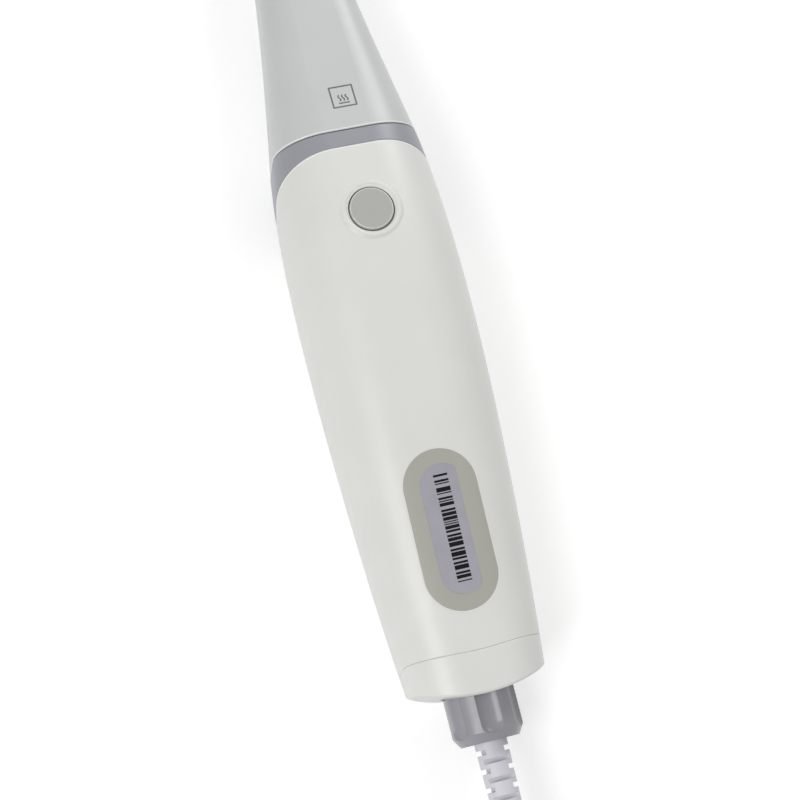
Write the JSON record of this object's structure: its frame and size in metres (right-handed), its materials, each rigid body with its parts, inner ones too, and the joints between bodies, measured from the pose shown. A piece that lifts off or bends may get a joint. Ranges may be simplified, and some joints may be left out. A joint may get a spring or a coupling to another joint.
{
  "type": "intraoral scanner",
  "caption": "Hand-held dental scanner: tapered pull-off mirror tip, barrel-shaped housing with a round scan button, fluted lock nut and a cable that ends in a plug.",
  "frame": {"origin": "on the flat back that the handpiece lies on, straight under the axis of the scan button", "axes": "+Y along the handpiece towards the tip, +Z out of the scan button, up when it lies on its back"},
  "size_m": [0.068, 0.4131, 0.0403],
  "materials": {
    "housing_white": "satin moulded",
    "tip_grey": "fine satin moulded",
    "collar_grey": "satin moulded",
    "nut_grey": "satin moulded",
    "button_silver": "satin anodised",
    "label_grey": "matt film",
    "nose_dark": "matt moulded",
    "mirror": "front-silvered",
    "glass": "coated",
    "board_green": "solder mask",
    "chip_black": "moulded epoxy",
    "bench_aluminium": "die-cast",
    "barrel_black": "black anodised",
    "screw_steel": "plain",
    "flex_amber": "polyimide film",
    "socket_nickel": "nickel plated",
    "insert_black": "moulded",
    "pin_gold": "gold plated",
    "boot_lavender": "soft moulded",
    "cable_sheath": "smooth jacket",
    "tie_black": "woven hook-and-loop",
    "plug_grey": "soft moulded",
    "plug_steel": "plated"
  },
  "bodies": {
    "handpiece": {"collar_ring": "collar_grey", "nose_tube": "nose_dark", "nose_window": "glass", "housing": "housing_white", "label_inlay": "label_grey", "button_switch": "chip_black", "button_board": "board_green", "button_screws": "screw_steel", "optics_bench": "bench_aluminium", "bench_screws": "screw_steel", "lens_barrel": "barrel_black", "objective_lens": "glass", "beam_splitter": "glass", "projector_barrel": "barrel_black", "light_engine": "barrel_black", "camera_board": "board_green", "image_sensor": "chip_black", "main_board": "board_green", "board_screws": "screw_steel", "processor_chip": "chip_black", "memory_chips": "chip_black", "heat_sink": "bench_aluminium", "flex_sockets": "insert_black", "button_flex": "flex_amber", "sensor_flex": "flex_amber", "socket_flex": "flex_amber", "end_cap": "housing_white", "rear_socket": "socket_nickel", "contact_insert": "insert_black", "contact_pins": "pin_gold", "cable_connector": "insert_black", "strain_relief": "boot_lavender", "cable_lead": "cable_sheath", "cable_coil": "cable_sheath", "cable_tail": "cable_sheath", "coil_tie": "tie_black", "plug_body": "plug_grey", "plug_shell": "plug_steel", "plug_tongue": "insert_black"},
    "tip": {"tip_shell": "tip_grey", "tip_mirror": "mirror"},
    "button": {"button_cap": "button_silver", "switch_plunger": "insert_black"},
    "nut": {"lock_nut": "nut_grey"}
  },
  "joints": [
    {"name": "tip_pull", "type": "slide", "parent": "handpiece", "child": "tip", "axis": [0, 1, 0], "range_m": [0, 0.043]},
    {"name": "button_press", "type": "slide", "parent": "handpiece", "child": "button", "axis": [0, 0, -1], "range_m": [0, 0.0007], "stiffness_N_per_m": 800, "springref_m": -0.0004},
    {"name": "nut_turn", "type": "hinge", "parent": "handpiece", "child": "nut", "pos_m": [0, -0.127, 0.016], "axis": [0, -1, 0], "range_deg": [0, 90]}
  ]
}
